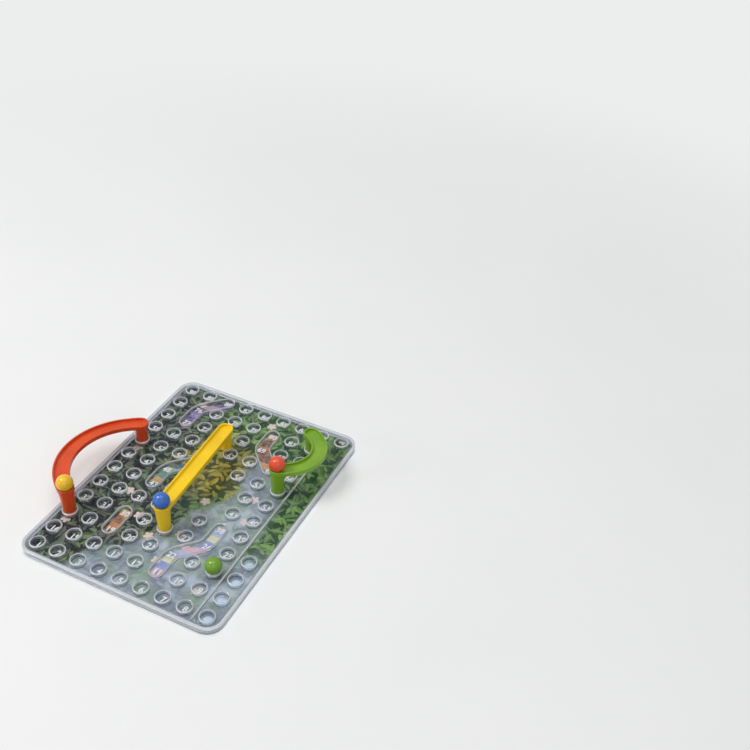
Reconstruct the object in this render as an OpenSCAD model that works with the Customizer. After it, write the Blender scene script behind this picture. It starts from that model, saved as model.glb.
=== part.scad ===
// Snakes and ladders board for marbles.
// A clear plate in a rim frame carries ring cups on a square grid and the curbs of five snake channels.
// Three chutes on posts stand in for the ladders, and marbles wait at their tops and in a cup.
// X runs along the front edge, Y towards the back and Z up, from the centre of the underside.
// All lengths are in millimetres.

/* [Board] */
// Gap between neighbouring cups
cup_spacing = 6.6; // [5.8:0.2:10]
// Distance from the front and back cups to the outside of the rim
cup_to_edge = 5.3; // [5:0.1:9]
// Distance from the cups at the sides to the outside of the rim
cup_to_side = 6.7; // [5:0.1:9]
// Radius of the board's corners
corner_radius = 14; // [8:1:18]
// Thickness of the base plate
base_thickness = 1.2; // [0.8:0.1:2]
// Thickness of the printed card
card_thickness = 0.4; // [0.2:0.1:0.8]
// Thickness of the clear plate
plate_thickness = 1.6; // [1.2:0.1:3]

/* [Rim] */
// Thickness of the rim's wall
rim_wall = 2.4; // [1.6:0.2:2.6]
// Height of the rim's top over the plate
rim_height = 3; // [2.6:0.2:8]
// Width of the lip that holds the plate down
lip_width = 2; // [1:0.2:2.4]
// Height of the lip
lip_height = 1.4; // [0.8:0.2:2.4]
// Gap between the rim and the plates inside it
plate_gap = 0.2; // [0.1:0.05:0.4]

/* [Cups] */
// Outside diameter of a ring cup, which is also the width of a snake channel
cup_diameter = 13.4; // [11:0.2:16]
// Wall of a ring cup
cup_wall = 1.3; // [1:0.1:1.6]
// Height of a ring cup over the plate
cup_height = 4.4; // [3.6:0.2:6]
// Chamfer on the top edges of a ring cup
cup_chamfer = 0.4; // [0.1:0.1:0.5]

/* [Start lane rib] */
// Width of the rib beside the start lane
rib_width = 1.6; // [1:0.2:2.4]
// Height of the rib over the plate
rib_height = 3; // [2:0.2:4.4]
// Gap between the rib's front end and the lip
rib_gap = 0.6; // [0.2:0.2:2]

/* [Snake channels] */
// Thickness of a curb
curb_wall = 1.2; // [0.8:0.1:1.6]
// Height of a curb over the plate
curb_height = 3.4; // [2:0.2:4.4]
// Radius of a channel's bends, along its middle
bend_radius = 16; // [10:1:20]

/* [Chutes] */
// Width of a chute over its rims
chute_width = 14; // [13:0.2:15]
// How much wider all round a chute's end is than its strip
end_flare = 0.3; // [0.2:0.1:0.4]
// Thickness of a chute's rims
chute_wall = 1.5; // [1:0.1:2]
// Thickness of a chute's floor
chute_floor = 1.8; // [1.6:0.1:2.4]
// Depth of a chute from its rims to its floor
chute_depth = 2.4; // [1.6:0.1:2.6]
// Height of the rims at the tall end, over the cups
tall_end_rise = 26; // [22:0.5:34]
// Height of the rims at the short end, over the cups
short_end_rise = 18.5; // [14:0.5:20]
// How far the red chute swings out from the line between its posts
red_bulge = 28.8; // [20:0.2:36]
// How far the green chute swings out from the line between its posts
green_bulge = 20; // [14:0.2:24]
// Depth of the dimple that a marble rests in at the tall end
dimple_depth = 0.8; // [0.4:0.1:1]

/* [Posts] */
// Gap all round between a post's foot and its cup
foot_gap = 0.2; // [0.1:0.05:0.4]
// Height of the straight foot above the cup's rim
foot_over_cup = 1; // [0.4:0.2:2]
// Diameter of a tall post at its top
tall_post_top = 13; // [11:0.2:13]
// Diameter of a short post at its top
short_post_top = 9.6; // [9:0.2:13]
// Wall left around the hollow inside a post
post_wall = 1.6; // [1.2:0.1:2.4]
// Web left between the hollow and the socket
post_web = 2; // [1.2:0.2:3]
// Diameter of the spigot under a chute's end
spigot_diameter = 6; // [5:0.2:6]
// Length of the spigot
spigot_length = 5; // [3:0.5:6]
// Gap all round between the spigot and the post's socket
spigot_gap = 0.1; // [0.05:0.05:0.2]
// Free depth left beyond the end of the spigot
socket_slack = 0.5; // [0.2:0.1:1]

/* [Marbles] */
// Diameter of a marble
marble_diameter = 14; // [13:0.2:15]
// Gap between a resting marble and its seat
marble_gap = 0.3; // [0.1:0.05:0.4]

/* [Hidden] */
$fn = 96;
// How far a cut runs past the face that it opens
overrun = 1;
// Grid of the board
column_count = 9;
row_count = 12;
// Places on the grid are shares of the pitch: column and row, from the cup at the front left.
// Columns that hold a ring cup, row by row from the front
cup_column_shares = [
    [0, 1, 2, 3, 4, 5, 6, 7, 8],
    [0, 1, 2, 3, 4, 6, 7, 8],
    [0, 1, 3, 4, 6, 7, 8],
    [0, 1, 3, 4, 5, 7, 8],
    [0, 1, 2, 3, 5, 7],
    [0, 1, 3, 6, 7],
    [0, 1, 3, 6, 7],
    [0, 1, 2, 5, 6, 7],
    [0, 1, 2, 3, 4, 5, 7],
    [0, 2, 3, 4, 6, 7],
    [0, 2, 3, 4, 6, 7],
    [0, 1, 3, 4, 5, 6, 7, 8],
];
// Where the snake channels start
short_snake_shares = [2, 2];
long_snake_shares = [5, 1];
bent_snakes_shares = [[2, 5], [1, 9]];
turned_snake_shares = [5, 10];
// The ends of the chutes, tall end first; the yellow short post stands between cups
red_end_shares = [[0, 2], [0, 7]];
yellow_end_shares = [[4, 3], [3.5, 8.45]];
green_end_shares = [[7, 7], [7, 10]];
// The marble that waits in a cup
waiting_cup_shares = [7, 2];
// The rib stands midway between the last two columns and ends beside this row
rib_column_share = 7.5;
rib_last_row_share = 9;
// Distance between the centres of neighbouring cups
pitch = cup_diameter + cup_spacing;
// Outside of the board
board_width = (column_count - 1) * pitch + cup_diameter + 2 * cup_to_side;
board_length = (row_count - 1) * pitch + cup_diameter + 2 * cup_to_edge;
// Heights over the underside
plate_bottom = base_thickness + card_thickness;
plate_top = plate_bottom + plate_thickness;
cup_top = plate_top + cup_height;
rim_top = plate_top + rim_height;
// Insets from the outside of the rim
plate_inset = rim_wall + plate_gap;
lip_inset = rim_wall + lip_width;
// Cups and channels
cup_outer = cup_diameter / 2;
cup_inner = cup_outer - cup_wall;
bend_turn = 45;
bend_steps = 9;
cap_steps = 36;
bend_tangent = bend_radius * tan(bend_turn / 2);
bend_reach = bend_tangent * cos(bend_turn);
first_bend_start = [0, pitch - bend_tangent, 0];
second_bend_start = [pitch - bend_reach, 2 * pitch - bend_reach, bend_turn];
// Chutes
chute_half = chute_width / 2;
chute_inner = chute_half - chute_wall;
end_outer = chute_half + end_flare;
end_inner = chute_inner + end_flare;
chute_thickness = chute_depth + chute_floor;
tall_rim = cup_top + tall_end_rise;
short_rim = cup_top + short_end_rise;
// Posts
foot_radius = cup_inner - foot_gap;
foot_height = cup_height + foot_over_cup;
socket_depth = spigot_length + socket_slack;
// Marbles
marble_radius = marble_diameter / 2;
seat_radius = marble_radius + marble_gap;
chute_marble_height = tall_rim - chute_depth - dimple_depth + seat_radius;
cup_marble_height = max(
    plate_top + seat_radius,
    cup_top - cup_chamfer + sqrt(pow(seat_radius, 2) - pow(cup_inner, 2)),
    cup_top + sqrt(pow(seat_radius, 2) - pow(cup_inner + cup_chamfer, 2))
);

// Where a place on the grid lies on the board
function place(shares) = [
    (shares.x - (column_count - 1) / 2) * pitch,
    (shares.y - (row_count - 1) / 2) * pitch,
    0
];

// Outline of the board, drawn in from its outside
module outline(inset) {
    width = board_width - 2 * inset;
    length = board_length - 2 * inset;
    radius = corner_radius - inset;
    square([width, length - 2 * radius], center = true);
    square([width - 2 * radius, length], center = true);
    for (x = [-1, 1], y = [-1, 1])
        translate([x * (width / 2 - radius), y * (length / 2 - radius)])
            circle(r = radius);
}

// A sheet of that outline
module sheet(inset, bottom, thickness) {
    translate([0, 0, bottom])
        linear_extrude(height = thickness)
            outline(inset);
}

module base_tray() {
    color("whitesmoke")
        sheet(plate_inset, 0, base_thickness);
}

module printed_card() {
    color("seagreen")
        sheet(plate_inset, base_thickness, card_thickness);
}

// The plate and the rib beside the start lane are one moulding
module clear_plate() {
    rib_start = -board_length / 2 + lip_inset + rib_gap;
    rib_end = place([rib_column_share, rib_last_row_share]).y;
    color("aliceblue", 0.5) {
        sheet(plate_inset, plate_bottom, plate_thickness);
        translate([place([rib_column_share, 0]).x - rib_width / 2, rib_start, plate_bottom])
            cube([rib_width, rib_end - rib_start, plate_thickness + rib_height]);
    }
}

// The frame is open below for the plates and has a lip over the plate's edge
module board_rim() {
    color("ghostwhite", 0.7)
        difference() {
            sheet(0, 0, rim_top);
            sheet(rim_wall, -overrun, overrun + plate_top);
            sheet(lip_inset, 0, rim_top);
            sheet(rim_wall, plate_top + lip_height, rim_top);
        }
}

module ring_cup() {
    rotate_extrude()
        polygon([
            [cup_inner, 0],
            [cup_outer, 0],
            [cup_outer, cup_height - cup_chamfer],
            [cup_outer - cup_chamfer, cup_height],
            [cup_inner + cup_chamfer, cup_height],
            [cup_inner, cup_height - cup_chamfer]
        ]);
}

module ball_cups() {
    color("azure", 0.6)
        translate([0, 0, plate_top])
            for (row = [0 : row_count - 1], column = cup_column_shares[row])
                translate(place([column, row]))
                    ring_cup();
}

// Stations along a channel's middle hold the place and the heading, clockwise from Y.
// Those of a bend, side 1 to the right and -1 to the left
function bend(from, side) = [
    for (step = [0 : bend_steps])
        let (heading = from.z + side * bend_turn * step / bend_steps)
            [
                from.x + side * bend_radius * (cos(from.z) - cos(heading)),
                from.y + side * bend_radius * (sin(heading) - sin(from.z)),
                heading
            ]
];

// Points beside the stations, to the right or, if negative, to the left
function beside(stations, distance) = [
    for (station = stations)
        [station.x + distance * cos(station.z), station.y - distance * sin(station.z)]
];

// Points of the half circle about a station, ahead of it from zero or behind it from 180
function cap(station, radius, from) = [
    for (step = [1 : cap_steps - 1])
        let (angle = from - station.z + 180 * step / cap_steps)
            [station.x + radius * cos(angle), station.y + radius * sin(angle)]
];

function reversed(list) = [for (k = [len(list) - 1 : -1 : 0]) list[k]];

// Round-ended outline about the stations
function channel_outline(stations, half) = concat(
    beside(stations, half),
    cap(stations[len(stations) - 1], half, 0),
    reversed(beside(stations, -half)),
    cap(stations[0], half, 180)
);

// The curb all round a channel
module curb(stations) {
    linear_extrude(height = curb_height)
        difference() {
            polygon(channel_outline(stations, cup_outer));
            polygon(channel_outline(stations, cup_outer - curb_wall));
        }
}

// One row straight
module short_snake() {
    curb([[0, 0, 0], [0, pitch, 0]]);
}

// One row straight, then slantwise to the next column and row
module bent_snake() {
    curb(concat(
        [[0, 0, 0]],
        bend(first_bend_start, 1),
        [[pitch, 2 * pitch, bend_turn]]
    ));
}

// As the bent one, then one more row straight
module long_snake() {
    curb(concat(
        [[0, 0, 0]],
        bend(first_bend_start, 1),
        bend(second_bend_start, -1),
        [[pitch, 3 * pitch, 0]]
    ));
}

module snake_channels() {
    color("lavender", 0.6)
        translate([0, 0, plate_top]) {
            translate(place(short_snake_shares))
                short_snake();
            translate(place(long_snake_shares))
                long_snake();
            for (start = bent_snakes_shares)
                translate(place(start))
                    bent_snake();
            translate(place(turned_snake_shares))
                mirror([0, 1, 0])
                    bent_snake();
        }
}

// A bar of the given half width and depth span along the strip, from the tall end to the short one.
// It is straight if the bulge is zero, else an arc that swings to the left, or to the right if negative.
module strip(length, bulge, half, low, high) {
    if (bulge == 0) {
        translate([0, -half, low])
            cube([length, 2 * half, high - low]);
    } else {
        side = sign(bulge);
        radius = (pow(length / 2, 2) + pow(bulge, 2)) / (2 * abs(bulge));
        sweep = 2 * asin(length / 2 / radius);
        translate([length / 2, bulge - side * radius, 0])
            rotate([0, 0, side * 90 - sweep / 2])
                rotate_extrude(angle = sweep)
                    translate([radius - half, low])
                        square([2 * half, high - low]);
    }
}

// Sloping strip between level round ends, with a dimple for a marble and a spigot under each end
module chute(end_shares, bulge) {
    tall = place(end_shares[0]);
    short = place(end_shares[1]);
    chord = norm(short - tall);
    heading = atan2(short.y - tall.y, short.x - tall.x);
    slope = atan((tall_rim - short_rim) / chord);
    length = chord / cos(slope);
    ends_under = [tall + [0, 0, tall_rim - chute_thickness], short + [0, 0, short_rim - chute_thickness]];
    // A straight strip dips below its tall end, and a curved one below both ends
    dipped_ends = bulge == 0 ? [ends_under[0]] : ends_under;
    difference() {
        union() {
            translate(tall + [0, 0, tall_rim])
                rotate([0, slope, heading])
                    strip(length, bulge, chute_half, -chute_thickness, 0);
            for (end = ends_under)
                translate(end)
                    cylinder(r = end_outer, h = chute_thickness);
        }
        translate(tall + [0, 0, tall_rim])
            rotate([0, slope, heading])
                strip(length, bulge, chute_inner, -chute_depth, chute_thickness);
        for (end = [tall + [0, 0, tall_rim], short + [0, 0, short_rim]])
            translate(end - [0, 0, chute_depth])
                cylinder(r = end_inner, h = chute_depth + chute_thickness);
        translate(tall + [0, 0, chute_marble_height])
            sphere(r = seat_radius);
        for (end = dipped_ends)
            translate(end - [0, 0, chute_thickness])
                cylinder(r = end_outer, h = chute_thickness);
    }
    for (end = ends_under)
        translate(end - [0, 0, spigot_length])
            cylinder(d = spigot_diameter, h = spigot_length);
}

// Straight foot that flares to the top, hollow from below, with a socket for the chute's spigot
module post(shares, top_diameter, top) {
    height = top - plate_top;
    translate(place(shares) + [0, 0, plate_top])
        difference() {
            union() {
                cylinder(r = foot_radius, h = foot_height);
                translate([0, 0, foot_height])
                    cylinder(r1 = foot_radius, d2 = top_diameter, h = height - foot_height);
            }
            translate([0, 0, height - socket_depth])
                cylinder(r = spigot_diameter / 2 + spigot_gap, h = socket_depth + overrun);
            translate([0, 0, -overrun])
                cylinder(r = foot_radius - post_wall, h = overrun + height - socket_depth - post_web);
        }
}

module tall_post(end_shares) {
    post(end_shares[0], tall_post_top, tall_rim - chute_thickness);
}

module short_post(end_shares) {
    post(end_shares[1], short_post_top, short_rim - chute_thickness);
}

module red_chute() {
    color("orangered") chute(red_end_shares, red_bulge);
}

module red_tall_post() {
    color("orangered") tall_post(red_end_shares);
}

module red_short_post() {
    color("orangered") short_post(red_end_shares);
}

module yellow_chute() {
    color("gold") chute(yellow_end_shares, 0);
}

module yellow_tall_post() {
    color("gold") tall_post(yellow_end_shares);
}

module yellow_short_post() {
    color("gold") short_post(yellow_end_shares);
}

module green_chute() {
    color("yellowgreen") chute(green_end_shares, -green_bulge);
}

module green_tall_post() {
    color("yellowgreen") tall_post(green_end_shares);
}

module green_short_post() {
    color("yellowgreen") short_post(green_end_shares);
}

module marble(shares, height) {
    translate(place(shares) + [0, 0, height])
        sphere(r = marble_radius);
}

// The yellow marble waits on the red chute
module yellow_ball() {
    color("goldenrod") marble(red_end_shares[0], chute_marble_height);
}

// The blue marble waits on the yellow chute
module blue_ball() {
    color("royalblue") marble(yellow_end_shares[0], chute_marble_height);
}

// The red marble waits on the green chute
module red_ball() {
    color("tomato") marble(green_end_shares[0], chute_marble_height);
}

// The green marble waits in a cup beside the rib
module green_ball() {
    color("olivedrab") marble(waiting_cup_shares, cup_marble_height);
}

base_tray();
printed_card();
clear_plate();
board_rim();
ball_cups();
snake_channels();
red_chute();
red_tall_post();
red_short_post();
yellow_chute();
yellow_tall_post();
yellow_short_post();
green_chute();
green_tall_post();
green_short_post();
yellow_ball();
blue_ball();
red_ball();
green_ball();
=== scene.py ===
# %% [markdown]
# # A marble board with snakes and ladders
# This board is played with marbles. They rest in ring cups, they roll along low channels
# that stand for the snakes, and they roll down three raised chutes that stand for the ladders.
# The exact solids are packed already, so the first step loads them as a fixed frame.
# Every piece made here takes its place from that frame.

# %% Load the frame
import math

import bmesh
import bpy
from mathutils import Color, Matrix, Vector


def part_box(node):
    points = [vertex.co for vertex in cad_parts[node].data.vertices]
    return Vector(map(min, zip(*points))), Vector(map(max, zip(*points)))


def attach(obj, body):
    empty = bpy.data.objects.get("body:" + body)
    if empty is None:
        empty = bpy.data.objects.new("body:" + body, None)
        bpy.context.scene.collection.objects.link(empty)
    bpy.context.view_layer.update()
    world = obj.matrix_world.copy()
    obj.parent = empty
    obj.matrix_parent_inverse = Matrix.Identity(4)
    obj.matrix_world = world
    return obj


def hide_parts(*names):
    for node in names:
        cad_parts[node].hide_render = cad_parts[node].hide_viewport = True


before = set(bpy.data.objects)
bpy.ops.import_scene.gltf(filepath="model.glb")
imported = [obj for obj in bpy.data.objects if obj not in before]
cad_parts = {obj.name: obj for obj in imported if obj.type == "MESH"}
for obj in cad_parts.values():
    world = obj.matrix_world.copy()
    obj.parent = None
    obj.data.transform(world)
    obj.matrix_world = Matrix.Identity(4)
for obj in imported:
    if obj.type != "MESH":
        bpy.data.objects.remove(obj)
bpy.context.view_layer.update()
scene = bpy.context.scene
scene.view_settings.view_transform = "Standard"

# %% [markdown]
# ## Camera
# The board is seen from its near right corner, from well above it, with a slight roll.
# A Track To constraint would lose the roll, so the camera's three axes are worked out
# from the viewing direction and set as one matrix.
# The lens follows from the focal length counted in pixels of the picture.

# %% Camera
MM = 0.001
azimuth, elevation, roll = (math.radians(angle) for angle in (23.72, 38.06, 3.05))
aim, distance = Vector((64.4, 213.4, 7.6)) * MM, 988.2 * MM
picture_pixels, focal_pixels = 750, 1002.6

backward = Vector((math.sin(azimuth) * math.cos(elevation),
                   -math.cos(azimuth) * math.cos(elevation),
                   math.sin(elevation)))
level = Vector((math.cos(azimuth), math.sin(azimuth), 0))
upward = backward.cross(level)
camera_x = level * math.cos(roll) + upward * math.sin(roll)
camera_y = upward * math.cos(roll) - level * math.sin(roll)

camera_data = bpy.data.cameras.new("board_camera")
camera_data.lens = camera_data.sensor_width * focal_pixels / picture_pixels
camera = bpy.data.objects.new("board_camera", camera_data)
camera.matrix_world = (Matrix.Translation(aim + backward * distance)
                       @ Matrix((camera_x, camera_y, backward)).transposed().to_4x4())
scene.collection.objects.link(camera)
scene.camera = camera
print("lens in mm:", round(camera_data.lens, 2))

# %% [markdown]
# ## Helpers for finishes
# A finish here is a tree of shader nodes. Three small helpers keep the trees readable:
# one adds a node and fills its sockets, one does a sum, and one fits a value to a new span.
# Colours are written as on a paint chart, from 0 to 255, and turned into the linear
# values that the sockets expect.

# %% Node helpers
def feed(tree, socket, value):
    """Links another node's socket, or sets a plain value."""
    if isinstance(value, bpy.types.NodeSocket):
        tree.links.new(value, socket)
    else:
        socket.default_value = value


def add_node(tree, kind, inputs=None, **settings):
    """Adds one node with its settings and sockets filled in."""
    made = tree.nodes.new(kind)
    for name, value in settings.items():
        setattr(made, name, value)
    for name, value in (inputs or {}).items():
        feed(tree, made.inputs[name], value)
    return made


def start_finish(name):
    """An empty material, its tree and its Object coordinates."""
    finish = bpy.data.materials.new(name)
    finish.use_nodes = True
    tree = finish.node_tree
    tree.nodes.clear()
    return finish, tree, add_node(tree, "ShaderNodeTexCoord").outputs["Object"]


def end_finish(tree, shader):
    """Joins the last shader to the material's output."""
    add_node(tree, "ShaderNodeOutputMaterial", {"Surface": shader.outputs[0]})


def paint(red, green, blue):
    """A chart colour from 0 to 255 as the linear colour of a socket."""
    chart = Color((red / 255, green / 255, blue / 255))
    return (*chart.from_srgb_to_scene_linear(), 1)


# %% Sums on sockets
def calc(tree, operation, *values):
    """One Math node, on sockets or numbers."""
    made = add_node(tree, "ShaderNodeMath", operation=operation)
    for socket, value in zip(made.inputs, values):
        feed(tree, socket, value)
    return made.outputs[0]


def span(tree, value, low, high, to_low=0.0, to_high=1.0):
    """Fits a value to a new span with soft ends."""
    return add_node(
        tree, "ShaderNodeMapRange",
        {"Value": value, 1: low, 2: high, 3: to_low, 4: to_high},
        interpolation_type="SMOOTHSTEP",
    ).outputs[0]


def blend_paint(tree, share, first, second):
    """Blends two colours by a share from 0 to 1."""
    made = add_node(tree, "ShaderNodeMix", data_type="RGBA")
    for place, value in ((0, share), (6, first), (7, second)):
        feed(tree, made.inputs[place], value)
    return made.outputs[2]


def clouds(tree, where, scale, detail=3.0, roughness=0.5):
    """Soft noise; the scale counts clouds in a metre."""
    return add_node(
        tree, "ShaderNodeTexNoise",
        {"Vector": where, "Scale": scale, "Detail": detail, "Roughness": roughness},
    ).outputs[0]


print("helpers ready, a mid grey is", round(paint(128, 128, 128)[0], 3))

# %% [markdown]
# ## Helper for pieces
# Pieces are drawn in millimetres, which keeps the numbers easy to read, and scaled to metres
# once at the end. Merging doubles closes the seams that spin leaves, and then the normals
# can be turned outwards. Weighted normals keep flat faces flat beside their rounded edges.

# %% Piece helpers
merge_gap = 0.0008
crisp_angle = math.radians(35)


def close_up(bm):
    """Merges the doubles of a mesh and turns its faces outwards."""
    bmesh.ops.remove_doubles(bm, verts=bm.verts, dist=merge_gap)
    bmesh.ops.recalc_face_normals(bm, faces=bm.faces)


def soften(bm, width, segments=3, chosen=None):
    """Rounds the crisp edges of a closed mesh, or those that a test chooses by their middle."""
    close_up(bm)
    crisp = [edge for edge in bm.edges
             if edge.is_manifold and edge.calc_face_angle() > crisp_angle]
    if chosen:
        crisp = [edge for edge in crisp if chosen((edge.verts[0].co + edge.verts[1].co) / 2)]
    bmesh.ops.bevel(bm, geom=crisp, offset=width, offset_type="OFFSET", affect="EDGES",
                    segments=segments, profile=0.5, material=-1, clamp_overlap=True)


def make_piece(name, bm, finish, body, slot, *nodes):
    """Turns a mesh in millimetres into a piece that rides on a body."""
    close_up(bm)
    loose = sum(not edge.is_manifold for edge in bm.edges)
    bmesh.ops.scale(bm, vec=(MM, MM, MM), verts=bm.verts)
    mesh = bpy.data.meshes.new(name)
    bm.to_mesh(mesh)
    bm.free()
    mesh.shade_smooth()
    mesh.materials.append(finish)
    made = bpy.data.objects.new(name, mesh)
    scene.collection.objects.link(made)
    made.modifiers.new("even shading", "WEIGHTED_NORMAL")
    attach(made, body)
    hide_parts(*nodes)
    print(f"{name}: {len(mesh.polygons)} faces, {loose} open edges")


# %% [markdown]
# ## Coloured plastic
# The chutes and posts are moulded in bright, fairly glossy plastic. Such plastic is never one
# flat colour: the pigment flows unevenly, so wide soft clouds drift between two close tones.
# A fine grain changes the gloss a little and gives the surface its slight orange peel.

# %% Coloured plastic
flow_scale, grain_scale = 38, 1100


def moulded_plastic(name, tone, deep_tone, gloss=0.24, peel=0.02, shine=0.35):
    """Opaque plastic between two tones; gloss is its roughness, peel the depth of its grain."""
    finish, tree, where = start_finish(name)
    flow = clouds(tree, where, flow_scale)
    grain = clouds(tree, where, grain_scale, 2)
    skin = add_node(tree, "ShaderNodeBump",
                    {"Strength": peel, "Distance": 0.0002, "Height": grain})
    shader = add_node(tree, "ShaderNodeBsdfPrincipled", {
        "Base Color": blend_paint(tree, span(tree, flow, 0.3, 0.75), tone, deep_tone),
        "Roughness": span(tree, grain, 0.3, 0.7, gloss - 0.03, gloss + 0.05),
        "Normal": skin.outputs[0],
        "IOR": 1.5,
        "Specular IOR Level": shine,
    })
    end_finish(tree, shader)
    return finish


chute_plastics = {
    "red": moulded_plastic("red_plastic", paint(218, 78, 28), paint(206, 68, 24)),
    "yellow": moulded_plastic("yellow_plastic", paint(244, 206, 18), paint(236, 192, 14)),
    "green": moulded_plastic("green_plastic", paint(128, 170, 40), paint(114, 156, 34)),
}
print("plastics:", ", ".join(chute_plastics))

# %% [markdown]
# ## Chutes
# A chute is a shallow open gutter with round ends. Two of them curve, one is straight,
# and each slopes down from its tall end to its short end.
# Half of its cut face is drawn once. Spin carries the half along the curve, and a half turn
# about the end's middle makes the round end, so walls and floor flow on without a seam.

# %% Section of a chute
chute_half, chute_inner = 7.0, 5.5
chute_depth, chute_thickness = 2.4, 4.2
floor_strips = 6


def half_section(bm, middle, heading, side):
    """Half of the cut face: out along the floor, over the wall and back below."""
    outward = Vector((math.sin(heading), -math.cos(heading), 0)) * side
    points = [(chute_inner * strip / floor_strips, -chute_depth)
              for strip in range(floor_strips + 1)]
    points += [(chute_inner, 0), (chute_half, 0),
               (chute_half, -chute_thickness), (0, -chute_thickness)]
    verts = [bm.verts.new(middle + outward * reach + Vector((0, 0, height)))
             for reach, height in points]
    return verts + [bm.edges.new(pair) for pair in zip(verts, verts[1:])]


def run_on(bm, section, step):
    """Extrudes a section by one step and gives the new section."""
    edges = [part for part in section if isinstance(part, bmesh.types.BMEdge)]
    made = bmesh.ops.extrude_edge_only(bm, edges=edges)["geom"]
    verts = [part for part in made if isinstance(part, bmesh.types.BMVert)]
    bmesh.ops.translate(bm, verts=verts, vec=step)
    new = set(verts)
    return verts + [edge for edge in bm.edges
                    if edge.verts[0] in new and edge.verts[1] in new]


# %% Sweep of a chute
UP = (0, 0, 1)
sweep_steps, round_steps = 64, 28


def sweep_chute(bm, length, bulge):
    """A level chute from the origin along X, bulging to its left."""
    start, end = Vector((0, 0, 0)), Vector((length, 0, 0))
    heading = 0.0
    if bulge:
        radius = (length ** 2 / 4 + bulge ** 2) / (2 * abs(bulge))
        heading = math.copysign(math.asin(length / 2 / radius), bulge)
        centre = Vector((length / 2, bulge - math.copysign(radius, bulge), 0))
    for side in (1, -1):
        section = half_section(bm, start, heading, side)
        if bulge:
            bmesh.ops.spin(bm, geom=section, cent=centre, axis=UP,
                           angle=-2 * heading, steps=sweep_steps)
        else:
            for step in range(sweep_steps):
                section = run_on(bm, section, (length / sweep_steps, 0, 0))
    for middle, turned, half_turn in ((start, heading, -math.pi), (end, -heading, math.pi)):
        bmesh.ops.spin(bm, geom=half_section(bm, middle, turned, 1), cent=middle, axis=UP,
                       angle=half_turn, steps=round_steps)


# %% [markdown]
# The level chute is then bent to its slope and gets a shallow seat for the marble at its top.
# Both are simple moves of the vertices: every point sinks in proportion to its way along the
# chute, and every point that lies inside the seat's ball is pushed out to its surface.

# %% Slope and seat
tall_rim, short_rim = 33.6, 26.1
marble_radius, seat_radius = 7.0, 7.3
marble_over_rim = 4.1
chute_round = 0.45


def build_chute(colour, tall_end, short_end, bulge):
    """A chute from its tall end to its short end, at its height over the floor."""
    bm = bmesh.new()
    tall_end, short_end = Vector((*tall_end, 0)), Vector((*short_end, 0))
    way = short_end - tall_end
    sweep_chute(bm, way.length, bulge)
    soften(bm, chute_round)
    seat = Vector((0, 0, marble_over_rim))
    for vert in bm.verts:
        share = min(max(vert.co.x / way.length, 0), 1)
        vert.co.z -= (tall_rim - short_rim) * share
        reach = vert.co - seat
        if reach.length < seat_radius:
            vert.co = seat + reach.normalized() * seat_radius
    bmesh.ops.rotate(bm, verts=bm.verts, cent=(0, 0, 0),
                     matrix=Matrix.Rotation(math.atan2(way.y, way.x), 3, "Z"))
    bmesh.ops.translate(bm, verts=bm.verts, vec=tall_end + Vector((0, 0, tall_rim)))
    make_piece(f"{colour}_chute", bm, chute_plastics[colour],
               f"{colour}_slide", colour, f"{colour}_chute")


# Tall end, short end, and how far the chute bulges to the left of the line between them.
chute_ways = {
    "red": ((-80, -70), (-80, 30), 28.8),
    "yellow": ((0, -50), (-10, 59), 0),
    "green": ((60, 30), (60, 90), -20),
}
for colour, (tall_end, short_end, bulge) in chute_ways.items():
    build_chute(colour, tall_end, short_end, bulge)

# %% [markdown]
# ## Posts
# Each chute stands on two posts that push into it. A tall post widens towards its top and a
# short one narrows a little, and both are hollow from below, as moulded posts are.
# A post is turned work, so its half profile is drawn with a few vertices and spun round.
# The top goes a little way into the chute, which hides the joint as a push fit does.

# %% Posts
plate_top = 3.2
foot_radius, foot_height, hollow_radius = 5.2, 5.4, 3.6
top_web, push_in = 2.0, 0.6
post_steps, post_round = 48, 0.4


def build_post(colour, kind, place, top_radius, chute_rim):
    """A hollow post under one end of a chute."""
    bm = bmesh.new()
    height = chute_rim - chute_thickness - plate_top
    profile = [(0, height - top_web), (hollow_radius, height - top_web), (hollow_radius, 0),
               (foot_radius, 0), (foot_radius, foot_height),
               (top_radius, height + push_in), (0, height + push_in)]
    verts = [bm.verts.new((radius, 0, level_height)) for radius, level_height in profile]
    edges = [bm.edges.new(pair) for pair in zip(verts, verts[1:])]
    bmesh.ops.spin(bm, geom=verts + edges, cent=(0, 0, 0), axis=UP,
                   angle=2 * math.pi, steps=post_steps, use_merge=True)
    soften(bm, post_round)
    bmesh.ops.translate(bm, verts=bm.verts, vec=(*place, plate_top))
    name = f"{colour}_{kind}_post"
    make_piece(name, bm, chute_plastics[colour], f"{colour}_slide", colour, name)


tall_top, short_top = 6.5, 4.8
for colour, (tall_end, short_end, bulge) in chute_ways.items():
    build_post(colour, "tall", tall_end, tall_top, tall_rim)
    build_post(colour, "short", short_end, short_top, short_rim)

# %% [markdown]
# ## Marbles
# The marbles are polished plastic balls, moulded in two halves. An icosphere would do for a
# plain ball, but not for the fine line where the halves meet.
# So a vertex is spun to a quarter arc for each half, a hair's breadth is taken off between
# them, and the whole profile is spun round. Each ball is tipped another way.

# %% Marbles
seam_half_angle, seam_sink = math.radians(0.9), 0.035
arc_steps, ball_steps = 20, 56
tip_axis = Vector((1, 0.6, 0.2)).normalized()


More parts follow.
